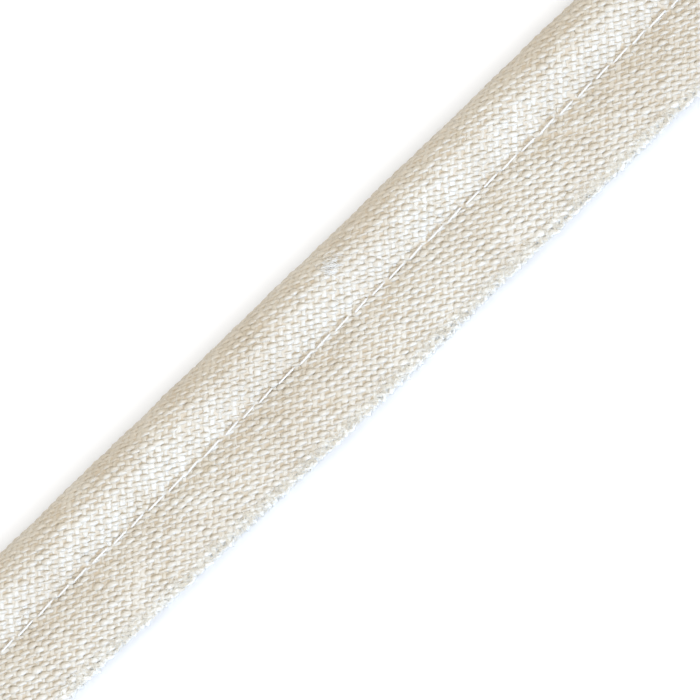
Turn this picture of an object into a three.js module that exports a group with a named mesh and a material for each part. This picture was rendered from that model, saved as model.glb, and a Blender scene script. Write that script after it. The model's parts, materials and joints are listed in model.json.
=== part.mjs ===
import * as THREE from 'three';

// A cut length of flanged piping trim, lying with its bead and its flange on a surface.
// Millimetres. +X runs along the trim, +Y points to the bead's side and +Z is up.
// The origin is the middle of the footprint, on the surface.

// Driving dimensions
const LENGTH = 150;
const BEAD_RADIUS = 5.1; // outside the cover
const BEAD_SEAT = 0.15; // how far the bead's underside is flattened by resting
const SEAM_FROM_BEAD = 6.2; // from the bead's middle to the row of stitches
const SEAM_HEIGHT = 4.44; // middle of the two layers at the stitches
const SEAM_SLOPE = 0.05; // fall of the flange where it leaves the seam
const FLANGE_REACH = 11; // from the stitches to the raw edges
const STRAIGHT_WIDTH = 3; // of the flange that is flat along its raw edges
const EDGE_HEIGHT = 1; // middle of the two layers at the raw edges
const LAYER_THICKNESS = 1;
const LAYER_GAP = 0.3;
const LAYERS_PINCHED = 1.7; // both layers together, pulled down by the stitches
const PINCH_WIDTH = 1.6; // over which the pinched layers open to their full thickness

// How fine the faces are
const STEP_LENGTH = 5;
const BEAD_ARC_STEP = THREE.MathUtils.degToRad(9);
const FLANGE_STEPS = 10;

// How far the raw edge and the bead's outer side stand in from the full width, along the trim
const UNEVENNESS = [
  { along: -75, rawEdgeIn: 0.45, beadIn: 0.05 },
  { along: -50, rawEdgeIn: 0.6, beadIn: 0.1 },
  { along: -35, rawEdgeIn: 0.35, beadIn: 0.02 },
  { along: -20, rawEdgeIn: 0.12, beadIn: 0.08 },
  { along: -5, rawEdgeIn: 0, beadIn: 0.03 },
  { along: 10, rawEdgeIn: 0.05, beadIn: 0 },
  { along: 30, rawEdgeIn: 0.18, beadIn: 0.09 },
  { along: 50, rawEdgeIn: 0.12, beadIn: 0.04 },
  { along: 75, rawEdgeIn: 0.25, beadIn: 0.1 },
];

// Places that follow from the dimensions, in the section's own plane.
// Y runs across the trim, from the bead's middle to its outer side, and Z is up.
const beadCentre = new THREE.Vector2(0, BEAD_RADIUS - BEAD_SEAT);
const seamY = -SEAM_FROM_BEAD;
const rawEdgeY = seamY - FLANGE_REACH;
const straightEndY = rawEdgeY + STRAIGHT_WIDTH;
const gapRootY = seamY - PINCH_WIDTH / 2;
const halfOpen = LAYER_THICKNESS + LAYER_GAP / 2; // half of the flange's thickness where it is open
const curvedWidth = FLANGE_REACH - STRAIGHT_WIDTH;
const fallLeft = SEAM_HEIGHT - EDGE_HEIGHT - (SEAM_SLOPE * curvedWidth) / 2;
const edgeSlope = fallLeft / (curvedWidth / 2 + STRAIGHT_WIDTH);

// Slope of the flange's middle: nearly level at the seam, steeper as it droops, then straight.
function flangeSlope(y) {
  const share = THREE.MathUtils.clamp((seamY - y) / curvedWidth, 0, 1);
  return THREE.MathUtils.lerp(SEAM_SLOPE, edgeSlope, share);
}

// Height of the middle of the flange.
function flangeMiddle(y) {
  const curved = Math.min(seamY - y, curvedWidth);
  const straight = seamY - y - curved;
  const fall = (curved * (SEAM_SLOPE + flangeSlope(y))) / 2 + straight * edgeSlope;
  return SEAM_HEIGHT - fall;
}

// A point of the flange, so far above its middle, square to the layers.
function flangePoint(y, above) {
  const upward = new THREE.Vector2(-flangeSlope(y), 1).normalize();
  const point = new THREE.Vector2(y, flangeMiddle(y)).addScaledVector(upward, above);
  point.y = Math.max(point.y, 0);
  return point;
}

// Half of the flange's thickness, thinner where the stitches pinch it.
function flangeHalf(y) {
  const open = THREE.MathUtils.smoothstep(seamY - y, 0, PINCH_WIDTH);
  return THREE.MathUtils.lerp(LAYERS_PINCHED / 2, halfOpen, open);
}

// Points of one face of the flange, from one place across to another.
function flangeFace(fromY, toY, aboveAt) {
  const points = [];
  for (let i = 0; i <= FLANGE_STEPS; i += 1) {
    const y = THREE.MathUtils.lerp(fromY, toY, i / FLANGE_STEPS);
    points.push(flangePoint(y, aboveAt(y)));
  }
  return points;
}

// Angle round the bead at which cloth from the seam starts to lie on it, above (side 1) or below (side -1).
function contactAngle(neck, side) {
  const toNeck = neck.clone().sub(beadCentre);
  return toNeck.angle() - side * Math.acos(BEAD_RADIUS / toNeck.length());
}

// Points round the bead, from its lower contact by the outer side to its upper contact.
function beadArc(neckBelow, neckAbove) {
  const start = contactAngle(neckBelow, -1) - 2 * Math.PI;
  const end = contactAngle(neckAbove, 1);
  const count = Math.ceil((end - start) / BEAD_ARC_STEP);
  const points = [];
  for (let i = 0; i <= count; i += 1) {
    const angle = THREE.MathUtils.lerp(start, end, i / count);
    const onBead = new THREE.Vector2(Math.cos(angle), Math.sin(angle));
    onBead.multiplyScalar(BEAD_RADIUS).add(beadCentre);
    onBead.y = Math.max(onBead.y, 0);
    points.push(onBead);
  }
  return points;
}

// The whole section, anticlockwise from the lower layer's raw edge.
function sectionOutline() {
  const below = (y) => -flangeHalf(y);
  const above = (y) => flangeHalf(y);
  const gapTop = () => LAYER_GAP / 2;
  const gapBottom = () => -LAYER_GAP / 2;
  return [
    flangePoint(rawEdgeY, below(rawEdgeY)),
    ...flangeFace(straightEndY, seamY, below),
    ...beadArc(flangePoint(seamY, below(seamY)), flangePoint(seamY, above(seamY))),
    ...flangeFace(seamY, straightEndY, above),
    flangePoint(rawEdgeY, above(rawEdgeY)),
    flangePoint(rawEdgeY, gapTop()),
    ...flangeFace(straightEndY, gapRootY, gapTop),
    ...flangeFace(gapRootY, straightEndY, gapBottom),
    flangePoint(rawEdgeY, gapBottom()),
  ];
}

// A column of the unevenness table at one place along the trim, eased from row to row.
function unevenness(column, along) {
  const last = UNEVENNESS.length - 1;
  const next = THREE.MathUtils.clamp(UNEVENNESS.findIndex((row) => row.along >= along), 1, last);
  const [from, to] = [UNEVENNESS[next - 1], UNEVENNESS[next]];
  const share = THREE.MathUtils.smoothstep(along, from.along, to.along);
  return THREE.MathUtils.lerp(from[column], to[column], share);
}

// Moves one point of the straight trim to where the uneven trim has it.
function madeUneven(point) {
  const { x, y, z } = point;
  if (y < seamY) {
    const share = (seamY - y) / FLANGE_REACH;
    return new THREE.Vector3(x, y + share * unevenness('rawEdgeIn', x), z);
  }
  if (y > 0 && z > 0) {
    return new THREE.Vector3(x, y * (1 - unevenness('beadIn', x) / BEAD_RADIUS), z);
  }
  return point;
}

// The extruded section, turned so that its depth runs along X, then made uneven.
function pipingGeometry() {
  const steps = LENGTH / STEP_LENGTH;
  const shape = new THREE.Shape(sectionOutline());
  const geometry = new THREE.ExtrudeGeometry(shape, { depth: LENGTH, steps, bevelEnabled: false });
  geometry.translate(0, 0, -LENGTH / 2);
  const across = new THREE.Vector3(0, 1, 0);
  const up = new THREE.Vector3(0, 0, 1);
  const along = new THREE.Vector3(1, 0, 0);
  geometry.applyMatrix4(new THREE.Matrix4().makeBasis(across, up, along));
  const places = geometry.getAttribute('position');
  for (let i = 0; i < places.count; i += 1) {
    const moved = madeUneven(new THREE.Vector3().fromBufferAttribute(places, i));
    places.setXYZ(i, moved.x, moved.y, moved.z);
  }
  geometry.computeBoundingBox();
  const { min, max } = geometry.boundingBox;
  geometry.translate(0, -(min.y + max.y) / 2, 0);
  geometry.computeVertexNormals();
  return geometry;
}

function linen() {
  return new THREE.MeshStandardMaterial({ color: 0xe2dacb, roughness: 0.95, metalness: 0 });
}

const piping = new THREE.Mesh(pipingGeometry(), linen());
piping.name = 'piping';

const trim = new THREE.Group();
trim.add(piping);

export default trim;
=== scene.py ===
"""A cut length of linen piping trim: its woven cover, seam, raw edges and cut ends, on a pale floor."""

import json
import math

import bpy
import numpy as np
from mathutils import Matrix, Vector

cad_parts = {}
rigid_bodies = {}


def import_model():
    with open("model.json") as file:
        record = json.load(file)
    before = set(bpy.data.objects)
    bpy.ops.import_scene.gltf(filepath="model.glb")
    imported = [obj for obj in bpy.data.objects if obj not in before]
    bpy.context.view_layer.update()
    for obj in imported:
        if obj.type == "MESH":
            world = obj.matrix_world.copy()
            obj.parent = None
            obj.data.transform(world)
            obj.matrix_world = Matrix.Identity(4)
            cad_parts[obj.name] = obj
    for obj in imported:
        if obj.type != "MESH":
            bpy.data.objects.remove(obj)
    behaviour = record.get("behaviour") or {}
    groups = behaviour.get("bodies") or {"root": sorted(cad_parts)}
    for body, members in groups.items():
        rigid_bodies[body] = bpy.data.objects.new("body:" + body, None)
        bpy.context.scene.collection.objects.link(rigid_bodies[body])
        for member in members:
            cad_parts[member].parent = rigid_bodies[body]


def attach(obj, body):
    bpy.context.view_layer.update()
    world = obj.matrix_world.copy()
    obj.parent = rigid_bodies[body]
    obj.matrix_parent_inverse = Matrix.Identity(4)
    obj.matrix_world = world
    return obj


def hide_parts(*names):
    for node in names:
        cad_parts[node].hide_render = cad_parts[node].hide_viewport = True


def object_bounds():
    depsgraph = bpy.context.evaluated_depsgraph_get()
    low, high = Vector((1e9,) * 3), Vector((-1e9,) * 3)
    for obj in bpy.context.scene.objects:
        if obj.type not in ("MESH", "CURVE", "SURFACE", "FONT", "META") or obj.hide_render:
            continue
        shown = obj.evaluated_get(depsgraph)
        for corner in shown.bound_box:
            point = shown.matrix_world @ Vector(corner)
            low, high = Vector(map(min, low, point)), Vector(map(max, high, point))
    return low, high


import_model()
SOLID_LOW, SOLID_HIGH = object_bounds()

bl_info = {
    "name": "Linen piping trim",
    "version": (1, 0, 0),
    "blender": (4, 5, 0),
    "location": "View3D > Sidebar > Piping",
    "description": "Builds a cut length of linen piping trim thread by thread",
    "category": "Add Mesh",
}

MM = 0.001
BODY = "root"
NODE = "piping"
LINE_STEP = 0.02 * MM  # between the points of the cover's middle line
PHOTO_PIXELS = 700
PHOTO_SCALE = 7160  # pixels a metre
TRIM_TURN = math.radians(43.95)  # of the trim above the picture's horizontal
VIEW_TILT = math.radians(30)  # of the view to the flange's side of straight above
PICTURE_MIDDLE_FROM_BEAD_SIDE = 98.5 / PHOTO_SCALE  # across the trim, in the picture


def length(name, description, default):
    """A property that holds a length in metres."""
    return bpy.props.FloatProperty(
        name=name, description=description, default=default, unit="LENGTH", precision=5
    )


def share(name, description, default):
    """A property that holds a plain factor."""
    return bpy.props.FloatProperty(name=name, description=description, default=default)


def angle(name, description, degrees):
    """A property that holds an angle."""
    return bpy.props.FloatProperty(
        name=name, description=description, default=math.radians(degrees), subtype="ANGLE"
    )


def power(name, description, watts):
    """A property that holds a lamp's power."""
    return bpy.props.FloatProperty(name=name, description=description, default=watts, unit="POWER")


def colour(name, description, default):
    """A property that holds a linear colour."""
    return bpy.props.FloatVectorProperty(
        name=name, description=description, default=default, size=3, min=0, max=1, subtype="COLOR"
    )


class TrimSizes(bpy.types.PropertyGroup):
    """The trim's section and length, as its solid has them."""

    trim_length: length("Length", "Of the cut piece", SOLID_HIGH.x - SOLID_LOW.x)
    bead_radius: length("Bead radius", "Outside the cover", 5.1 * MM)
    bead_seat: length("Bead seat", "How far the bead's underside is flattened", 0.15 * MM)
    seam_from_bead: length("Seam place", "From the bead's middle", 6.2 * MM)
    seam_height: length("Seam height", "Middle of the two layers at the stitches", 4.44 * MM)
    seam_slope: share("Seam slope", "Fall of the flange where it leaves the seam", 0.05)
    flange_reach: length("Flange reach", "From the stitches to the raw edges", 11 * MM)
    straight_width: length("Straight width", "Of the flange along its raw edges", 3 * MM)
    edge_height: length("Edge height", "Middle of the two layers at the raw edges", 1 * MM)
    layer: length("Layer thickness", "Of one layer of the cloth", 1 * MM)
    layer_gap: length("Layer gap", "Between the flange's two layers", 0.3 * MM)
    pinched: length("Pinched thickness", "Of both layers at the stitches", 2.2 * MM)
    pinch_width: length("Pinch width", "Over which the pinched layers open", 1.6 * MM)


class WeaveSettings(bpy.types.PropertyGroup):
    """The plain weave of the cover, cut on the bias."""

    weft_pitch: length("Weft pitch", "Between neighbours", 0.747 * MM)
    weft_turn: angle("Weft direction", "To the trim's length", 35.6)
    warp_pitch: length("Warp pitch", "Between neighbours on the bead", 1.045 * MM)
    warp_turn: angle("Warp direction", "To the trim's length, on the bead", 46)
    warp_turn_flange: angle("Warp direction on the flange", "To the trim's length", 44.3)
    skew: share("Skew", "Slide of the cloth along the trim on its way down to the stitches", 0.17)
    weft_width: share("Weft width", "As a share of the pitch", 0.82)
    warp_width: share("Warp width", "As a share of the pitch", 0.84)
    weft_thick: length("Weft thickness", "Of the flattened thread", 0.4 * MM)
    warp_thick: length("Warp thickness", "Of the flattened thread", 0.32 * MM)
    weft_crimp: length("Weft crimp", "How far it rises and dips", 0.26 * MM)
    warp_crimp: length("Warp crimp", "How far it rises and dips", 0.03 * MM)
    weft_swing: length("Weft swing", "Of a crown's ends along the trim, where it slants", 0.17 * MM)
    warp_swing: length("Warp swing", "The same of the warp, whose crowns are straight", 0)
    stretched: share("Stretched relief", "What is left of the crimp on the outer side and the underside", 0.4)
    uneven_place: share("Uneven spacing", "Of the threads, as a share of the pitch", 0.09)
    uneven_girth: share("Uneven girth", "Of the threads", 0.11)
    uneven_crown: share("Uneven crowns", "From crossing to crossing, in girth and place", 0.2)
    slub_share: share("Slubs", "Share of the threads that have one", 0.3)


class SeamSettings(bpy.types.PropertyGroup):
    """The row of stitches beside the bead."""

    stitch: length("Stitch length", "From hole to hole", 3.6 * MM)
    thread: length("Thread diameter", "Of the three plies together", 0.3 * MM)
    slant: length("Slant", "How far one stitch leans across", 0.35 * MM)
    hole_radius: length("Hole size", "Of the dimple at a hole", 0.42 * MM)
    hole_depth: length("Hole depth", "Of the dimple at a hole", 0.16 * MM)


class FinishColours(bpy.types.PropertyGroup):
    """Colours of the cloth, the thread, the filling and the stage."""

    linen_deep: colour("Deep linen", "The darker tone", (0.51, 0.43, 0.315))
    linen_pale: colour("Pale linen", "The lighter tone", (0.65, 0.6, 0.503))
    linen_bleached: colour("Loose linen", "Where threads come apart", (0.69, 0.65, 0.56))
    fibre: colour("Single fibres", "Along the raw edges", (0.8, 0.72, 0.575))
    hair: colour("Surface hairs", "The palest of them", (0.86, 0.83, 0.76))
    # the linen seen in the pores, deeper and warmer than the threads: painted shade between them
    linen_ground: colour("Linen between threads", "Seen in the pores", (0.60, 0.51, 0.39))
    stain: colour("Faint stains", "Brownish spots", (0.46, 0.36, 0.21))
    thread: colour("Sewing thread", "White spun thread", (0.76, 0.71, 0.63))
    filling: colour("Filling", "Cut fibre in the bead", (0.80, 0.76, 0.69))
    floor: colour("Floor", "Plain and pale", (0.93, 0.93, 0.93))


class StageSettings(bpy.types.PropertyGroup):
    """Light and camera."""

    sky: share("Sky strength", "Of the even white light", 0.93)
    window_power: power("Window light", "Low, from the flange's side", 9.5)
    window_rise: angle("Window height", "Above the floor", 9)
    window_colour: colour("Window colour", "A cool white", (0.38, 0.6, 1.0))
    lamp_power: power("Lamp light", "High, from the flange's side", 3.0)
    lamp_rise: angle("Lamp height", "Above the floor", 55)
    lamp_colour: colour("Lamp colour", "Plain white", (1.0, 1.0, 1.0))
    camera_distance: length("Camera distance", "Above the trim", 1.5)


class PipingSettings(bpy.types.PropertyGroup):
    """All settings of the trim."""

    sizes: bpy.props.PointerProperty(type=TrimSizes)
    weave: bpy.props.PointerProperty(type=WeaveSettings)
    seam: bpy.props.PointerProperty(type=SeamSettings)
    colours: bpy.props.PointerProperty(type=FinishColours)
    stage: bpy.props.PointerProperty(type=StageSettings)


# Smooth unevenness

class Ripple:
    """A smooth uneven field over the strip: a sum of sines, about from -1 to 1."""

    REACH = 1.8  # brings the mean of the sines up to about 1

    def __init__(self, seed, shortest, longest, count=7):
        rng = np.random.default_rng(seed)
        turns = rng.uniform(0, math.tau, count)
        rates = math.tau / np.geomspace(shortest, longest, count)
        self.rates = rates * np.cos(turns), rates * np.sin(turns)
        self.starts = rng.uniform(0, math.tau, count)

    def at(self, along, across):
        angles = np.multiply.outer(along, self.rates[0]) + np.multiply.outer(across, self.rates[1])
        return np.sin(angles + self.starts).mean(-1) * self.REACH


def smoothstep(value, low, high):
    """0 below low, 1 above high, eased between."""
    part = np.clip((value - low) / (high - low), 0, 1)
    return part * part * (3 - 2 * part)


def unit(vectors):
    """The vectors at length one."""
    return vectors / np.maximum(np.linalg.norm(vectors, axis=-1, keepdims=True), 1e-12)


# The cover as a surface

class Cover:
    """The cover's middle surface. A place on the cut strip is along it and across it, from the upper raw
    edge over the bead to the lower raw edge, with a lift off the surface."""

    EDGE_IN = (  # how far the raw edges stand in, along the trim
        (-75, 0.45), (-50, 0.6), (-35, 0.35), (-20, 0.12), (-5, 0),
        (10, 0.05), (30, 0.18), (50, 0.12), (75, 0.25),
    )
    CORNER_SOFTNESS = 0.6 * MM
    BEYOND = 4 * MM  # the line runs on past each raw edge, for loose fibres
    LINE_POINTS = 400  # of each stretch of the section, before it is spaced evenly
    WAVES, SHIFT = (6 * MM, 45 * MM), 0.16 * MM  # shortest and longest wave, and how far threads stray
    FINE_WAVES, FINE_SHIFT = (2.5 * MM, 7 * MM), 0.05 * MM
    SWELL_WAVES, SWELL = (5 * MM, 30 * MM), 0.07 * MM  # of the cloth off its section
    SWELL_HEIGHTS = (1 * MM, 3 * MM)  # over which the swell sets in
    CALM_END = 6 * MM  # at each cut end, where the threads don't shift along the trim
    SKEW_WIDTH = 4 * MM  # of the cloth above the stitches that has slid
    SKEW_EASE = (0.3 * MM, 1.2 * MM)  # at the stitches and towards the bead's top
    HOLE_SHIFT = 0.12  # of the holes off their even places, as a share of a stitch
    PULLED_WIDTH = 0.5 * MM  # to each side of the row of stitches

    def __init__(self, settings):
        self.sizes, self.seam = settings.sizes, settings.seam
        self.half_length = self.sizes.trim_length / 2
        self.place_sections()
        self.shift_along = Ripple(11, *self.WAVES)
        self.shift_across = Ripple(12, *self.WAVES)
        self.shift_fine = Ripple(13, *self.FINE_WAVES)
        self.swell = Ripple(14, *self.SWELL_WAVES)
        self.holes = self.hole_places()

    def flange_slope(self, y):
        """Slope of the flange's middle: nearly level at the seam, steeper as it droops, then straight."""
        part = np.clip((self.seam_y - y) / self.curved_width, 0, 1)
        return self.sizes.seam_slope + (self.edge_slope - self.sizes.seam_slope) * part

    def flange_point(self, y, above):
        """Points of the flange's section, so far above its middle, square to the layers."""
        z = self.sizes
        slope = self.flange_slope(y)
        curved = np.minimum(self.seam_y - y, self.curved_width)
        straight = self.seam_y - y - curved
        height = z.seam_height - curved * (z.seam_slope + slope) / 2 - straight * self.edge_slope
        size = np.hypot(slope, 1)
        return np.stack([y - slope / size * above, height + above / size], 1)

    def flange_half(self, y):
        """Half of the flange's thickness, thinner at the stitches."""
        z = self.sizes
        opened = smoothstep(self.seam_y - y, 0, z.pinch_width)
        return z.pinched / 2 + (z.layer + z.layer_gap / 2 - z.pinched / 2) * opened

    def place_sections(self):
        """Works out the middle line of the section and its outward normals."""
        z = self.sizes
        self.bead_y, self.bead_z = SOLID_HIGH.y - z.bead_radius, z.bead_radius - z.bead_seat
        self.seam_y = self.bead_y - z.seam_from_bead
        self.curved_width = z.flange_reach - z.straight_width
        fall = z.seam_height - z.edge_height - z.seam_slope * self.curved_width / 2
        self.edge_slope = fall / (self.curved_width / 2 + z.straight_width)
        outwards = np.linspace(self.seam_y, self.seam_y - z.flange_reach - self.BEYOND, self.LINE_POINTS)
        offset = (z.layer_gap / 2 + self.flange_half(outwards)) / 2
        upper = self.flange_point(outwards, offset)[::-1]
        lower = self.flange_point(outwards, -offset)
        radius = z.bead_radius - z.layer / 2
        turn_above = self.contact_turn(z.seam_height + z.pinched / 2, 1)
        turn_below = self.contact_turn(z.seam_height - z.pinched / 2, -1)
        turns = np.linspace(turn_above, turn_below - math.tau, self.LINE_POINTS)
        bead = np.stack([self.bead_y + radius * np.cos(turns), self.bead_z + radius * np.sin(turns)], 1)
        bead[:, 1] = np.maximum(bead[:, 1], z.layer / 2)
        line = self.softened(self.spaced(np.concatenate([upper, bead, lower])))
        steps = np.linalg.norm(np.diff(line, axis=0), axis=1)
        self.run = np.concatenate([[0], np.cumsum(steps)]) - self.BEYOND
        self.line = line
        ahead = unit(np.gradient(line, axis=0))
        self.outward = np.stack([-ahead[:, 1], ahead[:, 0]], 1)
        # The line runs past both raw edges, so the strip's own ends are found from the section
        raw_edge = self.seam_y - z.flange_reach
        near_edge = self.flange_point(np.array([raw_edge]), offset[-1])[0]
        self.run -= self.nearest(near_edge)
        far_edge = self.flange_point(np.array([raw_edge]), -offset[-1])[0]
        self.across_end = self.nearest(far_edge)
        self.upper_seam = self.nearest(upper[-1])
        self.lower_seam = self.nearest(lower[0])
        self.bead_top = self.nearest((self.bead_y, self.bead_z + radius))
        self.bead_under = self.nearest((self.bead_y, z.layer / 2))

    def contact_turn(self, height, side):
        """Turn round the bead at which cloth from the seam comes to lie on it."""
        y, z = self.seam_y - self.bead_y, height - self.bead_z
        turn = math.atan2(z, y) % math.tau
        return turn - side * math.acos(self.sizes.bead_radius / math.hypot(y, z))

    def spaced(self, points):
        """The line through the points, with even steps."""
        steps = np.linalg.norm(np.diff(points, axis=0), axis=1)
        run = np.concatenate([[0], np.cumsum(steps)])
        even = np.arange(0, run[-1], LINE_STEP)
        return np.stack([np.interp(even, run, points[:, i]) for i in range(2)], 1)

    def softened(self, line):
        """The line with its corners rounded."""
        reach = int(3 * self.CORNER_SOFTNESS / LINE_STEP)
        spread = np.arange(-reach, reach + 1) * LINE_STEP / self.CORNER_SOFTNESS
        weights = np.exp(-(spread**2) / 2)
        weights /= weights.sum()
        ends = [line[:1] + (line[:1] - line[1:2]) * np.arange(reach, 0, -1)[:, None]]
        ends += [line, line[-1:] + (line[-1:] - line[-2:-1]) * np.arange(1, reach + 1)[:, None]]
        padded = np.concatenate(ends)
        return np.stack([np.convolve(padded[:, i], weights, "valid") for i in range(2)], 1)

    def nearest(self, point):
        """How far across the strip the line comes nearest to a point of the section."""
        return float(self.run[np.argmin(np.linalg.norm(self.line - np.array(point), axis=1))])

    def edge_in(self, along):
        """How far the raw edges stand in."""
        table = np.array(self.EDGE_IN) * MM
        return np.interp(along, table[:, 0], table[:, 1])

    def skew(self, across):
        """How far the cloth has slid along the trim, from the bead's top down to the stitches."""
        start, finish = self.upper_seam, self.upper_seam + self.SKEW_WIDTH
        short, long = self.SKEW_EASE
        begun = smoothstep(across, start - short, start + short)
        ended = smoothstep(across, finish - long, finish + long)
        steps = np.diff(across, prepend=across[0])
        return np.cumsum(begun * (1 - ended) * steps)

    def hole_places(self):
        """Where the needle went through, along the trim."""
        count = int(self.half_length / self.seam.stitch)
        rng = np.random.default_rng(21)
        places = np.arange(-count, count + 1) * self.seam.stitch
        return places + rng.uniform(-self.HOLE_SHIFT, self.HOLE_SHIFT, len(places)) * self.seam.stitch

    def pressed(self, along, across):
        """How far the seam pulls the cloth in."""
        seam = self.seam
        row = 0 * along
        for place in (self.upper_seam, self.lower_seam):
            row += np.exp(-(((across - place) / self.PULLED_WIDTH) ** 2))
        nearest = np.abs(along[..., None] - self.holes).min(-1)
        return row * seam.hole_depth * np.exp(-((nearest / seam.hole_radius) ** 2))

    def point(self, along, across, lift):
        """Points of the part's frame."""
        moved = across + self.shift_across.at(along, across) * self.SHIFT
        moved = moved + self.shift_fine.at(along, across) * self.FINE_SHIFT
        x = along + self.shift_along.at(along, across) * self.SHIFT * self.inside(along)
        y, z = (np.interp(moved, self.run, self.line[:, i]) for i in range(2))
        y = y + np.maximum(self.seam_y - y, 0) / self.sizes.flange_reach * self.edge_in(along)
        out = self.normal(moved)
        swell = self.swell.at(along, across) * self.SWELL * smoothstep(z, *self.SWELL_HEIGHTS)
        lift = lift + swell - self.pressed(along, across)
        return np.stack([x, y + out[..., 1] * lift, z + out[..., 2] * lift], -1)

    def inside(self, along):
        """1 in the middle of the trim, 0 at its cut ends."""
        return smoothstep(self.half_length - np.abs(along), 0, self.CALM_END)

    def normal(self, across):
        """Outward normals."""
        y, z = (np.interp(across, self.run, self.outward[:, i]) for i in range(2))
        return unit(np.stack([0 * y, y, z], -1))


# Meshes

class ThreadMesh:
    """Collects threads into one mesh, with a map of each thread's lay and a map to bake on."""

    LAY_EDGE = 0.02  # left free on both sides of a thread, as a share of its width on the map
    BAKE_EDGES = (0.01, 0.07)  # the same on the other map, along and around

    def __init__(self, name, rows, columns=1, longest=1.0):
        self.name, self.rows, self.columns, self.longest = name, rows, columns, longest
        self.points, self.rims, self.corners, self.totals, self.lays, self.bakes = [], [], [], [], [], []
        self.count = self.taken = 0

    def add(self, centres, up, wide, thick, sides=6, rim=None, tone=None):
        """Adds a closed thread along the centres, wide and thick at each of them."""
        steps = len(centres)
        ahead = unit(np.gradient(centres, axis=0))
        side = unit(np.cross(ahead, up))
        rise = np.cross(side, ahead)
        turns = np.arange(sides) * math.tau / sides
        ring = side[:, None] * (np.cos(turns)[None, :, None] * wide[:, None, None])
        ring = ring + rise[:, None] * (np.sin(turns)[None, :, None] * thick[:, None, None])
        self.points.append((centres[:, None] + ring).reshape(-1, 3))
        self.rims.append(np.repeat(np.zeros(steps) if rim is None else rim, sides))
        i, j = np.meshgrid(np.arange(steps - 1), np.arange(sides), indexing="ij")
        i, j = i.ravel(), j.ravel()
        corner_i, corner_j = np.stack([i, i + 1, i + 1, i], 1), np.stack([j, j, j + 1, j + 1], 1)
        run = np.concatenate([[0], np.cumsum(np.linalg.norm(np.diff(centres, axis=0), axis=1))])
        self.corners.append((self.count + corner_i * sides + corner_j % sides).ravel())
        self.totals.append(np.full(len(i), 4))
        self.lay(run[corner_i], corner_j / sides, tone)
        around = np.arange(sides)
        for first, order in ((0, around), ((steps - 1) * sides, around[::-1])):
            self.corners.append(self.count + first + order)
            self.totals.append([sides])
            self.lay(np.full(sides, run[0 if first == 0 else -1]), order / sides, tone)
        self.count += steps * sides
        self.taken += 1

    def lay(self, run, around, tone):
        """Writes one stretch of both maps."""
        run, around = run.ravel(), around.ravel()
        tone = self.taken if tone is None else tone
        self.lays.append(np.stack([run / MM, tone + self.within(around, self.LAY_EDGE)], 1))
        column, row = self.taken % self.columns, self.taken // self.columns
        x = (column + self.within(run / self.longest, self.BAKE_EDGES[0])) / self.columns
        self.bakes.append(np.stack([x, (row + self.within(around, self.BAKE_EDGES[1])) / self.rows], 1))

    @staticmethod
    def within(part, edge):
        """A share of the whole width as a share of what the two edges leave."""
        return edge + (1 - 2 * edge) * part

    def finish(self, material):
        """Makes the object."""
        mesh = bpy.data.meshes.new(self.name)
        points, corners = np.concatenate(self.points), np.concatenate(self.corners)
        totals = np.concatenate(self.totals)
        mesh.vertices.add(len(points))
        mesh.vertices.foreach_set("co", points.astype(np.float32).ravel())
        mesh.loops.add(len(corners))
        mesh.loops.foreach_set("vertex_index", corners.astype(np.int32))
        mesh.polygons.add(len(totals))
        mesh.polygons.foreach_set("loop_start", (np.cumsum(totals) - totals).astype(np.int32))
        mesh.update(calc_edges=True)
        mesh.validate()
        mesh.polygons.foreach_set("use_smooth", np.ones(len(totals), bool))
        for name, places in (("Lay", self.lays), ("OFBake", self.bakes)):
            layer = mesh.uv_layers.new(name=name)
            layer.uv.foreach_set("vector", np.concatenate(places).astype(np.float32).ravel())
        mesh.uv_layers.active = mesh.uv_layers["Lay"]
        rim = mesh.attributes.new("rim", "FLOAT", "POINT")
        rim.data.foreach_set("value", np.concatenate(self.rims).astype(np.float32))
        return place_piece(self.name, mesh, material)


def place_piece(name, mesh, material):
    """Links a mesh as a named piece with its material."""
    mesh.materials.append(material)
    piece = bpy.data.objects.new(name, mesh)
    bpy.context.scene.collection.objects.link(piece)
    return piece


def on_trim(piece, replaces=False):
    """Lets a piece ride with the trim, and hides the solid if the piece replaces it."""
    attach(piece, BODY)
    if replaces:
        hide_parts(NODE)
    return piece


def grid_mesh(name, points, closed_across=False):
    """A mesh through a grid of points, closed round the second way if asked, with its ends capped then."""
    rows, columns = points.shape[:2]
    around = columns if closed_across else columns - 1
    i, j = np.meshgrid(np.arange(rows - 1), np.arange(around), indexing="ij")
    i, j, k = i.ravel(), j.ravel(), (j.ravel() + 1) % columns
    faces = np.stack([i * columns + j, (i + 1) * columns + j, (i + 1) * columns + k, i * columns + k], 1)
    faces = faces.tolist()
    if closed_across:
        strip = np.arange(columns // 2 - 1)
        cap = np.stack([strip, strip + 1, columns - 2 - strip, columns - 1 - strip], 1)
        faces += cap.tolist() + (cap[:, ::-1] + (rows - 1) * columns).tolist()
    mesh = bpy.data.meshes.new(name)
    mesh.from_pydata(points.reshape(-1, 3).tolist(), [], faces)
    mesh.update()
    mesh.polygons.foreach_set("use_smooth", np.ones(len(mesh.polygons), bool))
    return mesh


# Materials

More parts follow.
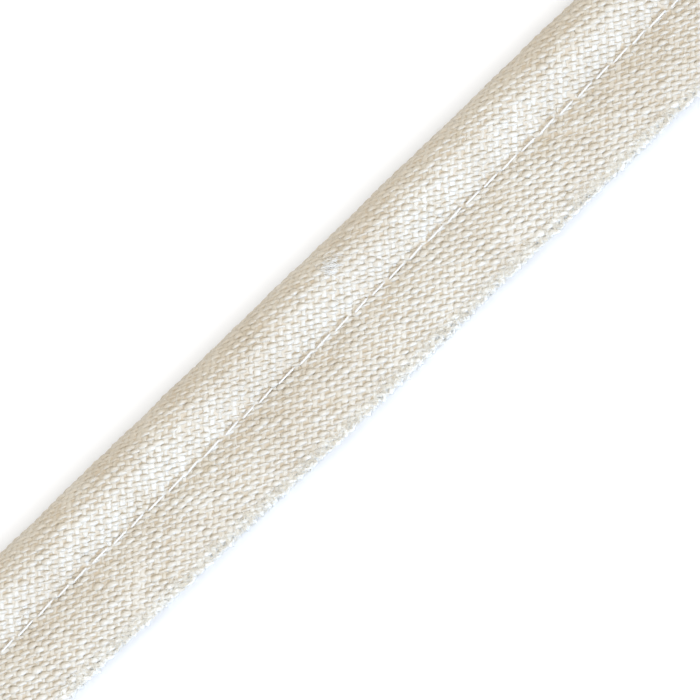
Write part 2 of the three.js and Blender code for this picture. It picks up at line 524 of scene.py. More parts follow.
class Shader:
    """A material under construction."""

    def __init__(self, name, roughness, **settings):
        self.material = bpy.data.materials.new(name)
        self.material.use_nodes = True
        self.tree = self.material.node_tree
        self.surface = self.tree.nodes["Principled BSDF"]
        self.surface.inputs["Roughness"].default_value = roughness
        for socket, value in settings.items():
            self.surface.inputs[socket.replace("_", " ")].default_value = value

    def node(self, kind, inputs=(), **settings):
        """Adds a node; inputs pairs a socket's name or number with a value or another node's output."""
        made = self.tree.nodes.new(kind)
        for key, value in settings.items():
            setattr(made, key, value)
        for key, value in dict(inputs).items():
            self.feed(made.inputs[key], value)
        return made

    def feed(self, socket, value):
        """Sets a socket, or links it to an output."""
        if isinstance(value, bpy.types.NodeSocket):
            self.tree.links.new(value, socket)
        else:
            socket.default_value = value

    def math(self, operation, *values):
        """The output of a sum on values or outputs."""
        return self.node("ShaderNodeMath", enumerate(values), operation=operation).outputs[0]

    def noise(self, vector, scale, detail=2.0, roughness=0.5):
        """The output of a noise."""
        inputs = {"Vector": vector, "Scale": scale, "Detail": detail, "Roughness": roughness}
        return self.node("ShaderNodeTexNoise", inputs).outputs[0]

    def ramp(self, value, low, high, to_low=0.0, to_high=1.0):
        """The output of a value moved from one range to another."""
        inputs = {0: value, 1: low, 2: high, 3: to_low, 4: to_high}
        return self.node("ShaderNodeMapRange", inputs, clamp=True).outputs[0]

    def mix(self, share_of_second, first, second):
        """The output of two colours mixed."""
        made = self.node("ShaderNodeMix", data_type="RGBA")
        self.feed(made.inputs["Factor"], share_of_second)
        for socket, value in ((made.inputs[6], first), (made.inputs[7], second)):
            self.feed(socket, value if isinstance(value, bpy.types.NodeSocket) else (*value, 1))
        return made.outputs[2]

    def own_tone(self, number):
        """The output of a tone that each thread has to itself, from its number."""
        return self.node("ShaderNodeTexWhiteNoise", {"W": number}, noise_dimensions="1D").outputs[0]

    def place(self):
        """The output of the place in the part's frame."""
        return self.node("ShaderNodeTexCoord").outputs["Object"]

    def bump(self, height, strength, distance):
        """Raises the surface by a height."""
        inputs = {"Height": height, "Strength": strength, "Distance": distance}
        made = self.node("ShaderNodeBump", inputs)
        self.feed(self.surface.inputs["Normal"], made.outputs[0])

    def paint(self, value):
        """Gives the surface its colour."""
        self.feed(self.surface.inputs["Base Color"], value)
        return self.material


LAY_APART = 7.31  # between the lays of neighbouring threads in a noise, so that none looks like the next


def lay_places(shader, winding, along_scale, around_scale):
    """Outputs of a thread's lay: a vector that runs with its twisted fibres, and the thread's own number."""
    lay = shader.node("ShaderNodeUVMap", uv_map="Lay").outputs[0]
    split = shader.node("ShaderNodeSeparateXYZ", {0: lay})
    number = shader.math("FLOOR", split.outputs[1])
    around = shader.math("FRACT", split.outputs[1])
    joined = shader.node("ShaderNodeCombineXYZ", {0: split.outputs[0], 1: around, 2: number})
    scale = (along_scale, around_scale, LAY_APART)
    inputs = {"Vector": joined.outputs[0], "Rotation": (0, 0, math.radians(winding)), "Scale": scale}
    return shader.node("ShaderNodeMapping", inputs).outputs[0], number


def shaded(colour_value, factor):
    """A colour made darker."""
    return tuple(factor * part for part in colour_value)


def linen_threads(colours):
    """Spun linen: fibres that wind round each thread, its own tone, whiter where it comes apart, and painted
    shade in the grooves between fibres.
    """
    shader = Shader("linen_threads", roughness=0.48, Specular_IOR_Level=0.9)
    fibres, number = lay_places(shader, winding=-24, along_scale=0.9, around_scale=9.0)
    place = shader.place()
    # streaks of fibre tone that also raise the bump below, so their darker parts lie in its grooves: painted
    # shade as well as fibre tone
    streaks_and_groove_shade = shader.noise(fibres, scale=1.6, detail=4.0, roughness=0.62)
    patches = shader.noise(place, scale=90.0)
    tones = (
        shader.ramp(streaks_and_groove_shade, 0.3, 0.7, to_high=0.45),
        shader.ramp(shader.own_tone(number), 0, 1, to_high=0.25),
        shader.ramp(patches, 0.35, 0.65, to_high=0.3),
    )
    tone = shader.math("ADD", shader.math("ADD", *tones[:2]), tones[2])
    linen = shader.mix(tone, colours.linen_deep, colours.linen_pale)
    stains = shader.ramp(shader.noise(place, scale=210.0, detail=3.0), 0.62, 0.76, to_high=0.4)
    stained = shader.mix(stains, linen, colours.stain)
    rim = shader.node("ShaderNodeAttribute", attribute_name="rim").outputs["Fac"]
    loosened = shader.math("MULTIPLY_ADD", shader.noise(place, scale=420.0, detail=3.0), 1.4, -0.7)
    loosened = shader.ramp(shader.math("ADD", rim, loosened), 0.2, 0.65)
    loosened = shader.math("MULTIPLY", loosened, shader.ramp(rim, 0.0, 0.15))
    lumps = shader.noise(place, scale=2300.0)
    shader.bump(shader.math("MULTIPLY_ADD", lumps, 1.2, streaks_and_groove_shade), strength=0.8, distance=0.12 * MM)
    return shader.paint(shader.mix(loosened, stained, colours.linen_bleached))


def linen_ground(colours):
    """Linen between the threads in a deeper, warmer tone than the threads: painted shade in the pores."""
    shader = Shader("linen_ground", roughness=0.95)
    fine = shader.noise(shader.place(), scale=2600.0, detail=3.0)
    shader.bump(fine, strength=0.5, distance=0.05 * MM)
    return shader.paint(shader.mix(fine, colours.linen_ground, colours.linen_deep))


def loose_fibres(name, deep, pale):
    """Single linen fibres, paler than the spun thread, with painted shade in the grooves between their
    streaks.
    """
    shader = Shader(name, roughness=0.8, Sheen_Weight=0.3)
    fibres, number = lay_places(shader, winding=0, along_scale=0.8, around_scale=2.0)
    streaks_and_groove_shade = shader.noise(fibres, scale=1.5)
    own = shader.ramp(shader.own_tone(number), 0, 1, to_high=0.6)
    # darker where the streaks' bump lies lower: painted shade in the grooves, with the fibres' own tone
    tone = shader.math("ADD", own, shader.ramp(streaks_and_groove_shade, 0.3, 0.7, to_low=0.3, to_high=0.8))
    tone = shader.math("MINIMUM", tone, 1.0)
    shader.bump(streaks_and_groove_shade, strength=0.3, distance=0.01 * MM)
    return shader.paint(shader.mix(tone, deep, pale))


def sewing_thread(colours):
    """White spun thread with a little gloss, and painted shade in the grooves between its fibres."""
    shader = Shader("sewing_thread", roughness=0.6, Sheen_Weight=0.4)
    fibres, _ = lay_places(shader, winding=30, along_scale=1.5, around_scale=6.0)
    streaks_and_groove_shade = shader.noise(fibres, scale=2.0, detail=3.0)
    shader.bump(streaks_and_groove_shade, strength=0.35, distance=0.02 * MM)
    # darker where the streaks' bump lies lower: painted shade in the grooves, with the thread's own tone
    return shader.paint(shader.mix(streaks_and_groove_shade, shaded(colours.thread, 0.86), colours.thread))


def cut_filling(colours):
    """The cut face of the soft filling, darker where its bumped face lies lower: painted shade in its
    hollows.
    """
    shader = Shader("cut_filling", roughness=0.95, Sheen_Weight=0.2)
    fine = shader.noise(shader.place(), scale=3200.0, detail=4.0, roughness=0.65)
    clumps = shader.noise(shader.place(), scale=700.0)
    height = shader.math("ADD", fine, clumps)
    shader.bump(height, strength=0.6, distance=0.12 * MM)
    # the bump's height also sets the colour, darker in the hollows: painted shade
    tone = shader.ramp(height, 0.7, 1.25)
    return shader.paint(shader.mix(tone, shaded(colours.filling, 0.7), colours.filling))


def pale_floor(colours):
    """A plain pale floor with the faintest grain."""
    shader = Shader("pale_floor", roughness=0.7, Specular_IOR_Level=0.2)
    grain = shader.noise(shader.place(), scale=40.0)
    return shader.paint(shader.mix(grain, shaded(colours.floor, 0.99), colours.floor))


# Threads of the weave

class Weave:
    """Where the threads of a plain weave run on the strip.

    The weft's places have whole numbers of weft_count and the warp's of warp_count. At a crossing the weft is
    on top where the two numbers add up to an even one."""

    FLANGE_EASE = 2.5 * MM  # over which the warp turns from its course on the flange to that on the bead
    COURSE_POINTS = 3000  # across the strip

    def __init__(self, cover, weave):
        self.cover, self.weave = cover, weave
        self.weft_along = math.sin(weave.weft_turn) / weave.weft_pitch
        self.weft_across = math.cos(weave.weft_turn) / weave.weft_pitch
        self.warp_along = math.sin(weave.warp_turn) / weave.warp_pitch
        on_bead = math.cos(weave.warp_turn) / weave.warp_pitch
        on_flange = self.warp_along / math.tan(weave.warp_turn_flange)
        ends = -cover.BEYOND, cover.across_end + cover.BEYOND
        self.across = np.linspace(*ends, self.COURSE_POINTS)
        ease = self.FLANGE_EASE
        past_upper = smoothstep(self.across, cover.upper_seam - ease, cover.upper_seam + ease)
        past_lower = smoothstep(self.across, cover.lower_seam - ease, cover.lower_seam + ease)
        rates = on_flange + (on_bead - on_flange) * past_upper * (1 - past_lower)
        steps = np.diff(self.across, prepend=self.across[0])
        self.warp_across = np.cumsum(rates * steps)
        self.slid = weave.skew * cover.skew(self.across)

    def weft_count(self, along, across):
        slid = along + np.interp(across, self.across, self.slid)
        return self.weft_along * slid + self.weft_across * across

    def warp_count(self, along, across):
        slid = along + np.interp(across, self.across, self.slid)
        return self.warp_along * slid - np.interp(across, self.across, self.warp_across)

    def course(self, family, number, wander):
        """One thread's places along the strip for each place across it."""
        if family == "weft":
            along = (number + wander - self.weft_across * self.across) / self.weft_along - self.slid
            return along, self.warp_count(along, self.across)
        along = (number + wander + self.warp_across) / self.warp_along - self.slid
        return along, self.weft_count(along, self.across)

    def numbers(self, family):
        """The whole numbers of the threads that meet the strip."""
        cover = self.cover
        count = self.weft_count if family == "weft" else self.warp_count
        corners = [
            count(along, across)
            for along in (-cover.half_length, cover.half_length)
            for across in (0, cover.across_end)
        ]
        return np.arange(math.ceil(min(corners)), math.floor(max(corners)) + 1)


THREAD_KINDS = {
    # family: seed, pieces, which way up at even crossings
    "weft": (31, 3, 1),
    "warp": (32, 3, -1),
}
STEPS_UPPER = 3  # rings for each crossing where the cloth faces up
STEPS_UNDER = 2  # and where it faces the floor
SHORTEST = 20  # points of a course that still make a thread


def ring_counts(count, across, turn):
    """Where a thread has its rings, as counts of the threads that it crosses: finer where it faces up."""
    order = np.argsort(count)
    rings = [count[[0, -1]]]
    for steps, facing_up in ((STEPS_UPPER, True), (STEPS_UNDER, False)):
        even = np.arange(math.ceil(count.min() * steps), math.floor(count.max() * steps) + 1) / steps
        rings.append(even[(np.interp(even, count[order], across[order]) < turn) == facing_up])
    return np.unique(np.round(np.concatenate(rings), 4))


class ThreadChance:
    """What chance gives one thread: its place, its girth, a slub and its cut ends."""

    END_SHIFT = 0.12 * MM
    WANDER_WAVE, WANDER = 4.1 * MM, 0.5  # the second as a share of the uneven spacing
    GIRTH_WAVE, GIRTH_SWELL = 3.3 * MM, 0.07

    def __init__(self, cover, weave, rng):
        self.start = rng.normal(0, weave.uneven_place)
        self.phases = rng.uniform(0, math.tau, 4)  # for the wander and the girth, and two to spare
        self.ends = rng.normal(0, self.END_SHIFT, 2)
        self.girth = 1 + weave.uneven_girth * rng.normal()
        self.has_slub, self.slub_at = rng.random() < weave.slub_share, rng.uniform(0, cover.across_end)
        self.slub_size, self.slub_long = rng.uniform(0.15, 0.4), rng.uniform(1.5, 4) * MM
        self.cut = cover.half_length - self.END_SHIFT * rng.random()
        self.stray = self.WANDER * weave.uneven_place

    def wander(self, across):
        """How far the thread strays from its place, in pitches."""
        return self.start + self.stray * np.sin(across / self.WANDER_WAVE + self.phases[0])

    def size(self, across, uneven):
        """Its girth across the strip, slub and all."""
        swelling = 1 + self.GIRTH_SWELL * np.sin(across / self.GIRTH_WAVE + self.phases[1]) + uneven
        if self.has_slub:
            swelling += self.slub_size * np.exp(-(((across - self.slub_at) / self.slub_long) ** 2))
        return self.girth * swelling


RIM_REACH = (0.3 * MM, 2.3 * MM)  # from the raw edge, over which the cloth comes apart
RIM_RELIEF = 0.55  # of the relief is lost there
STRETCHED_SIDE = (0.0, 0.8)  # how far a normal leans to the bead's side where the cloth is stretched
STRETCHED_UNDER = (0.2, 0.9)  # and to the floor
SWING_ENDS = (0.4, 0.75)  # and to the flange's side, where the crowns slant no more
TAPER_REACH, TAPER = (-0.2 * MM, 0.5 * MM), 0.25  # at the raw edges
CROWN_SHIFT = 0.6  # of the crowns' unevenness also moves them along the trim, in pitches
CROWN_WIDER = 0.1  # than the middle of a thread's rise, and a dip is as much narrower


def woven_thread(weave_map, family, number, rng):
    """Centres, upward directions, half sizes and rim share of one thread, or None if it is too short."""
    cover, weave = weave_map.cover, weave_map.weave
    names = ("pitch", "width", "thick", "crimp", "swing")
    pitch, width, thick, crimp, swing = (getattr(weave, f"{family}_{name}") for name in names)
    upright = THREAD_KINDS[family][2] * (1 - 2 * (number % 2))
    chance = ThreadChance(cover, weave, rng)
    across = weave_map.across
    along, count = weave_map.course(family, number, chance.wander(across))
    kept = np.abs(along) < chance.cut
    kept &= (across > chance.ends[0]) & (across < cover.across_end + chance.ends[1])
    if kept.sum() < SHORTEST:
        return None
    along, across, count = along[kept], across[kept], count[kept]
    order = np.argsort(count)
    rings = ring_counts(count, across, cover.bead_under)
    across, along = (np.interp(rings, count[order], part[order]) for part in (across, along))
    crossings = np.arange(math.floor(rings[0]), math.ceil(rings[-1]) + 1)
    drawn = weave.uneven_crown * rng.normal(size=(2, len(crossings)))
    uneven = [np.interp(rings, crossings, row) for row in drawn]
    to_edge = np.minimum(across, cover.across_end - across)
    rim = 1 - smoothstep(to_edge, *RIM_REACH)
    out = cover.normal(across)
    side, up = out[:, 1], out[:, 2]
    stretched = np.maximum(smoothstep(side, *STRETCHED_SIDE), smoothstep(-up, *STRETCHED_UNDER))
    relief = (1 - RIM_RELIEF * rim) * (1 + (weave.stretched - 1) * stretched)
    rising = upright * np.cos(math.pi * rings)
    lift = crimp * rising * (1 + uneven[0]) * relief
    slanting = upright * np.sin(math.pi * rings) * (1 - smoothstep(-side, *SWING_ENDS))
    moved = along + uneven[1] * pitch * CROWN_SHIFT + swing * slanting
    size = chance.size(across, uneven[0]) * (1 - TAPER + TAPER * smoothstep(to_edge, *TAPER_REACH))
    wide = pitch * width / 2 * size * (1 + CROWN_WIDER * rising)
    return cover.point(moved, across, lift), out, wide, thick / 2 * np.sqrt(size), rim


class PIPING_OT_threads(bpy.types.Operator):
    """Weave the linen cover from its weft and warp threads"""

    bl_idname = "piping.threads"
    bl_label = "Woven threads"

    def execute(self, context):
        settings = context.scene.piping
        weave_map = Weave(Cover(settings), settings.weave)
        material = linen_threads(settings.colours)
        for family, (seed, pieces, _) in THREAD_KINDS.items():
            rng = np.random.default_rng(seed)
            threads = [woven_thread(weave_map, family, n, rng) for n in weave_map.numbers(family)]
            threads = [thread for thread in threads if thread]
            if not threads:
                raise RuntimeError(f"No {family} thread meets the cover")
            each = math.ceil(len(threads) / pieces)
            for i in range(pieces):
                group = threads[i * each : (i + 1) * each]
                longest = max(np.linalg.norm(np.diff(t[0], axis=0), axis=1).sum() for t in group)
                mesh = ThreadMesh(f"{family}_threads_{i + 1}", len(group), longest=longest)
                for k, (centres, up, wide, thick, rim) in enumerate(group):
                    mesh.add(centres, up, wide, thick, rim=rim, tone=i * each + k)
                on_trim(mesh.finish(material), replaces=True)
        return {"FINISHED"}


class PIPING_OT_raw_edges(bpy.types.Operator):
    """Fray the raw edges of both layers into loose fibres"""

    bl_idname = "piping.raw_edges"
    bl_label = "Raw edges"

    MATTED = {"upper": 3600, "lower": 1500}  # short fibres that lie matted on the rim
    CUT = {"upper": 1500, "lower": 1500}  # fibre ends that stand in the cut itself
    SEEDS = {"upper": 41, "lower": 42}
    COLUMNS, LONGEST = 40, 2.4 * MM  # of the fibres on the map to bake on
    RIM = 1.5 * MM
    MATTED_TAPER = np.array([0.7, 1, 1, 0.8, 0.5])
    CUT_ROOT, CUT_TAPER = 0.5 * MM, 0.6
    LONG_ENDS, LONG_TIMES = 0.05, 2.2  # a few ends stand out further
    ABOVE_FLOOR = 0.05 * MM

    def execute(self, context):
        settings = context.scene.piping
        cover = Cover(settings)
        colours = settings.colours
        material = loose_fibres("edge_fibres", colours.linen_bleached, colours.fibre)
        for layer, outward in (("upper", -1), ("lower", 1)):
            rng = np.random.default_rng(self.SEEDS[layer])
            rows = math.ceil((self.MATTED[layer] + self.CUT[layer]) / self.COLUMNS)
            mesh = ThreadMesh(f"frayed_edge_{layer}", rows, self.COLUMNS, self.LONGEST)
            for _ in range(self.MATTED[layer]):
                self.matted(mesh, cover, outward, rng)
            for _ in range(self.CUT[layer]):
                self.cut_end(mesh, cover, outward, rng)
            on_trim(mesh.finish(material))
        return {"FINISHED"}

    def fibre(self, mesh, cover, along, out, lift, outward, size):
        """One fibre along points of the strip, given by how far they stand out past the raw edge."""
        edge = 0 if outward < 0 else cover.across_end
        across = edge + outward * out
        centres = cover.point(along, across, lift)
        centres[:, 2] = np.maximum(centres[:, 2], self.ABOVE_FLOOR)
        mesh.add(centres, cover.normal(across), size, size, sides=3)

    def matted(self, mesh, cover, outward, rng):
        """A short fibre that lies on the rim, curled."""
        along = rng.uniform(-0.995, 0.995) * cover.half_length
        out = -self.RIM * rng.random() ** 1.3
        part = np.linspace(0, 1, len(self.MATTED_TAPER))
        heading = rng.uniform(0, math.tau) + rng.normal(0, 1) * part
        step = rng.uniform(0.5, 1.5) * MM / len(part)
        along = along + np.cumsum(np.cos(heading)) * step
        out = np.minimum(out + np.cumsum(np.sin(heading)) * step, rng.uniform(-0.1, 0.16) * MM)
        lift = (rng.uniform(0.2, 0.42) + 0.1 * np.sin(math.pi * part)) * MM
        size = rng.uniform(0.018, 0.036) * MM * self.MATTED_TAPER
        self.fibre(mesh, cover, along, out, lift, outward, size)

    def cut_end(self, mesh, cover, outward, rng):
        """A fibre end that stands out of the cut."""
        along = rng.uniform(-0.998, 0.998) * cover.half_length
        part = np.linspace(0, 1, 4)
        lean = rng.normal(0, 0.5) * MM
        far = rng.uniform(0.02, 0.24) * MM * (self.LONG_TIMES if rng.random() < self.LONG_ENDS else 1)
        out = -self.CUT_ROOT + (self.CUT_ROOT + far) * part
        lift = rng.uniform(-0.4, 0.42) * MM + rng.normal(0, 0.06) * MM * part
        size = rng.uniform(0.022, 0.045) * MM * (1 - self.CUT_TAPER * part**2)
        self.fibre(mesh, cover, along + lean * part, out, lift, outward, size)


class PIPING_OT_fuzz(bpy.types.Operator):
    """Raise fine hairs from the face of the cloth"""

    bl_idname = "piping.fuzz"
    bl_label = "Surface hairs"

    HAIRS = 900
    TUFT_HAIRS = 70  # of a pale tuft where a thread has come loose on the bead
    TUFT_ALONG = 6 * MM
    TUFT_PAST_TOP = -0.7 * MM
    COLUMNS, LONGEST = 20, 5 * MM  # of the hairs on the map to bake on
    ON_CLOTH, ON_CROWNS = 0.3, 0.48  # millimetres that the hairs' feet and the tuft stand off the surface
    ABOVE_FLOOR = 0.03 * MM

    def execute(self, context):
        settings = context.scene.piping
        cover = Cover(settings)
        rng = np.random.default_rng(51)
        rows = math.ceil((self.HAIRS + self.TUFT_HAIRS) / self.COLUMNS)
        mesh = ThreadMesh("surface_hairs", rows, self.COLUMNS, self.LONGEST)
        for _ in range(self.HAIRS):
            self.hair(mesh, cover, rng)
        for _ in range(self.TUFT_HAIRS):
            self.tuft_hair(mesh, cover, rng)
        colours = settings.colours
        material = loose_fibres("surface_fibres", colours.linen_bleached, colours.hair)
        on_trim(mesh.finish(material))
        return {"FINISHED"}

    def hair(self, mesh, cover, rng):
        """One hair that leaves the cloth and comes back to it."""
        along = rng.uniform(-0.98, 0.98) * cover.half_length
        across = rng.uniform(0.02, 0.98) * cover.across_end
        turn, bend = rng.uniform(0, math.tau), rng.normal(0, 1.2)
        part = np.linspace(0, 1, 6)
        step = rng.uniform(0.8, 2.6) * MM / len(part)
        heading = turn + bend * part
        along = along + np.cumsum(np.cos(heading)) * step
        across = across + np.cumsum(np.sin(heading)) * step
        lift = (self.ON_CLOTH + rng.uniform(0.05, 0.3) * np.sin(math.pi * part)) * MM
        centres = cover.point(along, across, lift)
        centres[:, 2] = np.maximum(centres[:, 2], self.ABOVE_FLOOR)
        size = rng.uniform(0.012, 0.02) * MM * (1 - 0.5 * part)
        mesh.add(centres, cover.normal(across), size, size, sides=3)

    def tuft_hair(self, mesh, cover, rng):
        """One hair of the tuft, which leans down towards the stitches."""
        along = self.TUFT_ALONG + rng.normal(0, 0.7) * MM
        across = cover.bead_top + self.TUFT_PAST_TOP + rng.normal(0, 0.6) * MM
        heading = rng.normal(0.8, 0.5)
        part = np.linspace(-0.5, 0.5, 5)
        reach = rng.uniform(0.6, 1.6) * MM
        along = along + math.cos(heading) * reach * part
        across = across - math.sin(heading) * reach * part
        lift = (self.ON_CROWNS + rng.uniform(0, 0.14) + 0.05 * np.cos(math.pi * part)) * MM
        size = rng.uniform(0.025, 0.045) * MM * (1 - 1.2 * part**2)
        mesh.add(cover.point(along, across, lift), cover.normal(across), size, size, sides=3)


class PIPING_OT_seam(bpy.types.Operator):
    """Sew the row of lockstitch beside the bead, with its upper and lower thread"""

    bl_idname = "piping.seam"
    bl_label = "Seam"

    PLIES = 3
    TWIST_LENGTH = 1.1 * MM
    SAMPLES = 18  # for each stitch
    SPARE = 1.25  # of the thread's length for each length of the trim, on the map to bake on
    SUNK, RISE, BOW = 0.75 * MM, 1.26 * MM, 0.05 * MM  # in a hole, out of it and over the stitch
    HOLE_EDGE = (0.12 * MM, 0.6 * MM)  # from the hole, over which a stitch comes up
    ASIDE = 0.12 * MM  # from the neck towards the bead
    PLY, PLY_APART = 0.27, 1.05  # of the thread's diameter, and from its middle in ply radii

    def execute(self, context):
        settings = context.scene.piping
        cover = Cover(settings)
        material = sewing_thread(settings.colours)
        for name, across in (("upper_thread", cover.upper_seam), ("lower_thread", cover.lower_seam)):
            mesh = ThreadMesh(name, self.PLIES, longest=settings.sizes.trim_length * self.SPARE)
            self.sew(mesh, cover, settings.seam, across)
            on_trim(mesh.finish(material))
        return {"FINISHED"}

    def sew(self, mesh, cover, seam, across):
        """One thread that comes up at each hole, lies on the cloth and goes down at the next."""
        holes = cover.holes
        count = (len(holes) - 1) * self.SAMPLES
        place = np.linspace(0, len(holes) - 1, count + 1)
        along = np.interp(place, np.arange(len(holes)), holes)
        part = place % 1
        from_hole = np.minimum(part, 1 - part) * seam.stitch
        shown = smoothstep(from_hole, *self.HOLE_EDGE)
        lift = -self.SUNK + shown * self.RISE + self.BOW * np.sin(math.pi * part)
        side = -1 if across < cover.bead_top else 1
        leaning = side * seam.slant * (0.5 - part) * shown
        line = cover.point(along, across + 0 * along + leaning - side * self.ASIDE, lift)
        up = cover.normal(across + 0 * along)
        ahead = unit(np.gradient(line, axis=0))
        aside = unit(np.cross(ahead, up))
        rise = np.cross(aside, ahead)
        run = np.concatenate([[0], np.cumsum(np.linalg.norm(np.diff(line, axis=0), axis=1))])
        ply = seam.thread * self.PLY
        for k in range(self.PLIES):
            turn = math.tau * (run / self.TWIST_LENGTH + k / self.PLIES)
            offset = aside * np.cos(turn)[:, None] + rise * np.sin(turn)[:, None]
            size = np.full(len(line), ply)
            mesh.add(line + offset * ply * self.PLY_APART, up, size, size)


ENDS_IN = 0.25 * MM  # how far the filling and the cover's ground end inside the cut


class PIPING_OT_filling(bpy.types.Operator):
    """Show the soft filling in the bead's two cut ends"""

    bl_idname = "piping.filling"
    bl_label = "Cut ends of the bead"

    RINGS = 16
    AROUND = 56
    DEPTH = 3 * MM
    INSIDE = 0.98  # of a layer's thickness, where the filling meets the cover
    MIDDLE = 0.002  # of the radius, left open by the innermost ring
    ROUGH, ROUNDED = 0.1, 0.55  # millimetres, of the cut face and of its rim

    def execute(self, context):
        settings = context.scene.piping
        cover = Cover(settings)
        material = cut_filling(settings.colours)
        for name, way in (("bead_end_left", -1), ("bead_end_right", 1)):
            on_trim(self.end(name, cover, way, material))
        return {"FINISHED"}

    def end(self, name, cover, way, material):
        """A short plug of filling whose cut face swells a little past the cover's inside."""
        inside = self.INSIDE * cover.sizes.layer
        radius = cover.sizes.bead_radius - inside
        uneven = Ripple(61 + way, 0.5 * MM, 2.5 * MM, 12)
        turns = np.arange(self.AROUND) * math.tau / self.AROUND
        shares = self.MIDDLE + (1 - self.MIDDLE) * (np.arange(self.RINGS + 1) / self.RINGS) ** 0.8
        rows = [(share_out, 0.0) for share_out in shares]
        rows += [(1.0, self.DEPTH / 2), (0.98, self.DEPTH), (self.MIDDLE, self.DEPTH)]
        points = []
        for share_out, depth in rows:
            y = cover.bead_y + radius * share_out * np.cos(turns)
            z = np.maximum(cover.bead_z + radius * share_out * np.sin(turns), inside)
            rough = (uneven.at(y, z) * self.ROUGH - self.ROUNDED * share_out**8) * MM * (depth == 0)
            x = way * (cover.half_length - ENDS_IN - depth + rough)
            points.append(np.stack([x, y, z], 1))
        grid = np.array(points) if way < 0 else np.array(points)[:, ::-1]
        mesh = grid_mesh(name, grid, closed_across=True)
        return place_piece(name, mesh, material)


class PIPING_OT_cover(bpy.types.Operator):
    bl_idname = "piping.cover"
    bl_label = "Cover"

    HALF = 0.07 * MM
    EDGE = 0.8 * MM
    STEP_ALONG = 1.5 * MM
    STEP_ACROSS = 0.4 * MM

    def execute(self, context):
        settings = context.scene.piping
        cover = Cover(settings)
        end = cover.half_length - ENDS_IN
        along = np.linspace(-end, end, round(2 * end / self.STEP_ALONG))
        across = np.linspace(0, 1, round(cover.across_end / self.STEP_ACROSS))
        rows = []
        for place in along:
            line = self.EDGE + across * (cover.across_end - 2 * self.EDGE)
            there = np.full(len(line), place)
            over = cover.point(there, line, np.full(len(line), self.HALF))
            under = cover.point(there, line[::-1], np.full(len(line), -self.HALF))
            rows.append(np.concatenate([over, under]))
        mesh = grid_mesh("cover", np.array(rows), closed_across=True)
        # the cover's sheet carries the painted shade of the pores between the threads
        piece = place_piece("cover", mesh, linen_ground(settings.colours))
        on_trim(piece, replaces=True)
        threads = ("weft", "warp", "frayed", "surface")
        names = [piece.name for piece in context.scene.objects if piece.name.startswith(threads)]
        if not names:
            raise RuntimeError("The cover is made after its threads")
        return {"FINISHED"}


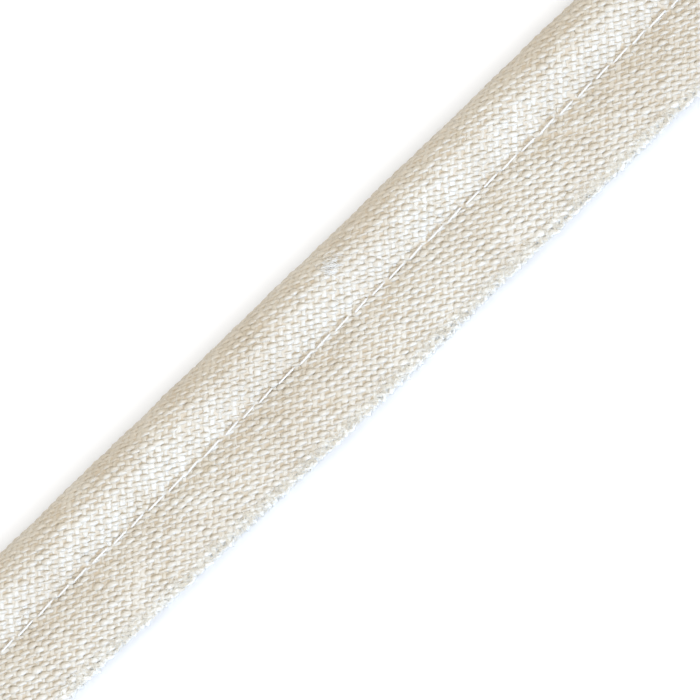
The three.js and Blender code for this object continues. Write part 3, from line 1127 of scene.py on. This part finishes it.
class PIPING_OT_stage(bpy.types.Operator):
    """Set the floor, the light and the camera"""

    bl_idname = "piping.stage"
    bl_label = "Stage"

    FLOOR_HALF = 1.2
    SEES_TO = 10
    LAMP_DISTANCE = 0.9
    WINDOW_SIZE = 0.45
    LAMP_SIZE = 0.3
    SENSOR = 36  # millimetres, as the camera has it

    def execute(self, context):
        settings = context.scene.piping
        self.floor(settings)
        self.light(context.scene, settings.stage)
        self.camera(context.scene, settings)
        context.scene.view_settings.view_transform = "Standard"
        return {"FINISHED"}

    def floor(self, settings):
        half = self.FLOOR_HALF
        side = np.linspace(-half, half, 3)
        y, x = np.meshgrid(side, side, indexing="ij")
        points = np.stack([x, y, 0 * x], -1)
        mesh = grid_mesh("floor", points[:, ::-1])
        place_piece("floor", mesh, pale_floor(settings.colours))

    def light(self, scene, stage):
        world = bpy.data.worlds.new("white_room")
        world.use_nodes = True
        sky = world.node_tree.nodes["Background"]
        sky.inputs["Color"].default_value = (1, 1, 1, 1)
        sky.inputs["Strength"].default_value = stage.sky
        scene.world = world
        window = self.lamp(scene, "window", stage.window_rise, self.WINDOW_SIZE)
        window.energy, window.color = stage.window_power, stage.window_colour
        lamp = self.lamp(scene, "lamp", stage.lamp_rise, self.LAMP_SIZE)
        lamp.energy, lamp.color = stage.lamp_power, stage.lamp_colour

    def lamp(self, scene, name, rise, size):
        """A round lamp on the flange's side, turned to the trim."""
        light = bpy.data.lights.new(name, "AREA")
        light.shape, light.size = "DISK", size
        piece = bpy.data.objects.new(name, light)
        piece.location = Vector((0, -math.cos(rise), math.sin(rise))) * self.LAMP_DISTANCE
        piece.rotation_euler = (math.pi / 2 - rise, 0, 0)
        scene.collection.objects.link(piece)
        return light

    def camera(self, scene, settings):
        shown = PHOTO_PIXELS / PHOTO_SCALE
        distance = settings.stage.camera_distance
        camera = bpy.data.cameras.new("camera")
        camera.sensor_width = self.SENSOR
        camera.lens = self.SENSOR * distance / shown
        camera.clip_end = self.SEES_TO
        eye = bpy.data.objects.new("camera", camera)
        radius = settings.sizes.bead_radius
        bead_middle = Vector((0, SOLID_HIGH.y - radius, radius - settings.sizes.bead_seat))
        tilt = Matrix.Rotation(VIEW_TILT, 4, "X")
        middle = bead_middle + tilt @ Vector((0, radius - PICTURE_MIDDLE_FROM_BEAD_SIDE, distance))
        eye.matrix_world = Matrix.Translation(middle) @ tilt @ Matrix.Rotation(-TRIM_TURN, 4, "Z")
        scene.collection.objects.link(eye)
        scene.camera = eye


class PIPING_PT_panel(bpy.types.Panel):
    """Lists the pieces of the trim, in the order in which they are made."""

    bl_idname = "PIPING_PT_panel"
    bl_label = "Linen piping trim"
    bl_space_type = "VIEW_3D"
    bl_region_type = "UI"
    bl_category = "Piping"

    def draw(self, context):
        for operator in OPERATORS:
            self.layout.operator(operator.bl_idname)
        for group in ("sizes", "weave", "seam", "colours", "stage"):
            box = self.layout.box()
            box.label(text=group.capitalize())
            settings = getattr(context.scene.piping, group)
            for name in settings.__annotations__:
                box.prop(settings, name)


OPERATORS = (
    PIPING_OT_stage,
    PIPING_OT_threads,
    PIPING_OT_raw_edges,
    PIPING_OT_fuzz,
    PIPING_OT_seam,
    PIPING_OT_filling,
    PIPING_OT_cover,
)
GROUPS = (TrimSizes, WeaveSettings, SeamSettings, FinishColours, StageSettings, PipingSettings)


def register():
    """Adds the add-on's classes."""
    for group in (*GROUPS, *OPERATORS, PIPING_PT_panel):
        bpy.utils.register_class(group)
    bpy.types.Scene.piping = bpy.props.PointerProperty(type=PipingSettings)


def unregister():
    """Takes the add-on's classes away."""
    del bpy.types.Scene.piping
    for group in reversed((*GROUPS, *OPERATORS, PIPING_PT_panel)):
        bpy.utils.unregister_class(group)


def main():
    """Builds the trim."""
    register()
    for operator in OPERATORS:
        family, name = operator.bl_idname.split(".")
        getattr(getattr(bpy.ops, family), name)()


if __name__ == "__main__":
    main()
